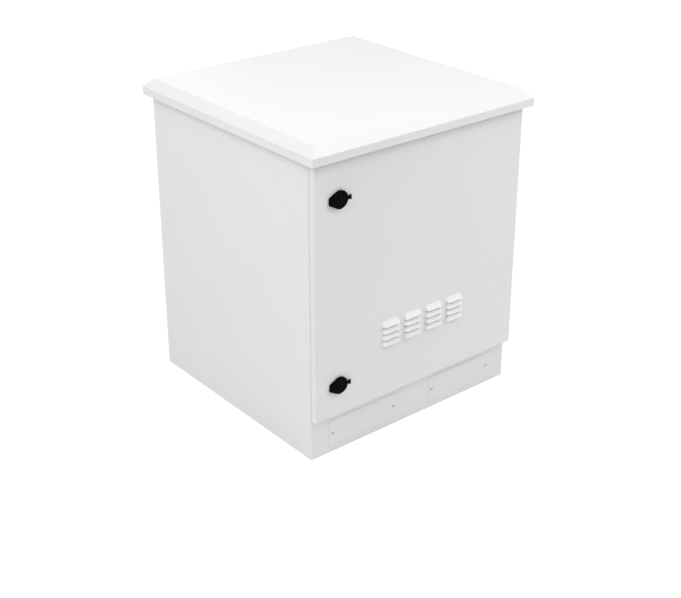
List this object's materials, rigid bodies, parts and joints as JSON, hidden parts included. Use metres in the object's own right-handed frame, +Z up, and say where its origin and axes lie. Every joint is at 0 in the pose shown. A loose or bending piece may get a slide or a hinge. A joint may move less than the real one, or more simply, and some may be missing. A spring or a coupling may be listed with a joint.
{
  "type": "outdoor distribution box",
  "caption": "White sheet-steel outdoor cabinet on a plinth with a bevelled rain roof, a louvred hinged door, capped cam locks and rack rails inside.",
  "frame": {"origin": "on the ground under the middle of the roof, the middle of the bounding box's underside", "axes": "+Z up, -Y out of the door's face, +X to the right as seen facing the door"},
  "size_m": [0.633, 0.6306, 0.74],
  "materials": {
    "white_powder_coat": "satin powder coat",
    "zinc_plated_steel": "zinc plated",
    "black_plastic": "fine grain",
    "seal_foam": "foamed skin",
    "black_rubber": "matt",
    "filter_fibre": "coarse fleece"
  },
  "bodies": {
    "cabinet": {"left_side": "white_powder_coat", "right_side": "white_powder_coat", "corner_post_left": "white_powder_coat", "corner_post_right": "white_powder_coat", "back_panel": "white_powder_coat", "front_frame": "white_powder_coat", "plinth_front": "white_powder_coat", "floor_pan": "white_powder_coat", "top_panel": "white_powder_coat", "base_rail_left": "zinc_plated_steel", "base_rail_right": "zinc_plated_steel", "roof": "white_powder_coat", "roof_rail_left": "zinc_plated_steel", "roof_rail_right": "zinc_plated_steel", "roof_bolts": "zinc_plated_steel", "roof_nuts": "zinc_plated_steel", "plinth_cover_left": "white_powder_coat", "plinth_cover_right": "white_powder_coat", "plinth_cover_screws": "zinc_plated_steel", "bracket_left_upper": "zinc_plated_steel", "bracket_left_lower": "zinc_plated_steel", "bracket_right_upper": "zinc_plated_steel", "bracket_right_lower": "zinc_plated_steel", "rail_front_left": "zinc_plated_steel", "rail_front_right": "zinc_plated_steel", "rail_back_left": "zinc_plated_steel", "rail_back_right": "zinc_plated_steel", "rail_bolts": "zinc_plated_steel", "rail_nuts": "zinc_plated_steel", "cable_entry_plate": "zinc_plated_steel", "entry_screws": "zinc_plated_steel", "entry_grommets": "black_rubber", "earth_stud": "zinc_plated_steel", "earth_nut": "zinc_plated_steel", "hinge_upper_frame_leaf": "white_powder_coat", "hinge_upper_pin": "zinc_plated_steel", "hinge_lower_frame_leaf": "white_powder_coat", "hinge_lower_pin": "zinc_plated_steel"},
    "door": {"door": "white_powder_coat", "door_stiffener": "white_powder_coat", "door_gasket": "seal_foam", "filter_tray": "zinc_plated_steel", "filter_mat": "filter_fibre", "hinge_upper_door_leaf": "white_powder_coat", "hinge_lower_door_leaf": "white_powder_coat", "lock_upper_housing": "black_plastic", "lock_upper_nut": "zinc_plated_steel", "lock_upper_cap_pin": "zinc_plated_steel", "lock_lower_housing": "black_plastic", "lock_lower_nut": "zinc_plated_steel", "lock_lower_cap_pin": "zinc_plated_steel"},
    "lock_upper": {"lock_upper_barrel": "zinc_plated_steel", "lock_upper_cam": "zinc_plated_steel", "lock_upper_cam_screw": "zinc_plated_steel"},
    "lock_lower": {"lock_lower_barrel": "zinc_plated_steel", "lock_lower_cam": "zinc_plated_steel", "lock_lower_cam_screw": "zinc_plated_steel"},
    "cap_upper": {"lock_upper_cap": "black_plastic"},
    "cap_lower": {"lock_lower_cap": "black_plastic"}
  },
  "joints": [
    {"name": "door_hinge", "type": "hinge", "parent": "cabinet", "child": "door", "pos_m": [0.2925, -0.29025, 0.398], "axis": [0, 0, 1], "range_deg": [0, 100]},
    {"name": "lock_upper_turn", "type": "hinge", "parent": "door", "child": "lock_upper", "pos_m": [-0.2355, -0.29875, 0.612], "axis": [0, 1, 0], "range_deg": [0, 90]},
    {"name": "cap_upper_flip", "type": "hinge", "parent": "door", "child": "cap_upper", "pos_m": [-0.2605, -0.30245, 0.612], "axis": [0, 0, -1], "range_deg": [0, 150]},
    {"name": "lock_lower_turn", "type": "hinge", "parent": "door", "child": "lock_lower", "pos_m": [-0.2355, -0.29875, 0.1775], "axis": [0, 1, 0], "range_deg": [0, 90]},
    {"name": "cap_lower_flip", "type": "hinge", "parent": "door", "child": "cap_lower", "pos_m": [-0.2605, -0.30245, 0.1775], "axis": [0, 0, -1], "range_deg": [0, 150]}
  ]
}
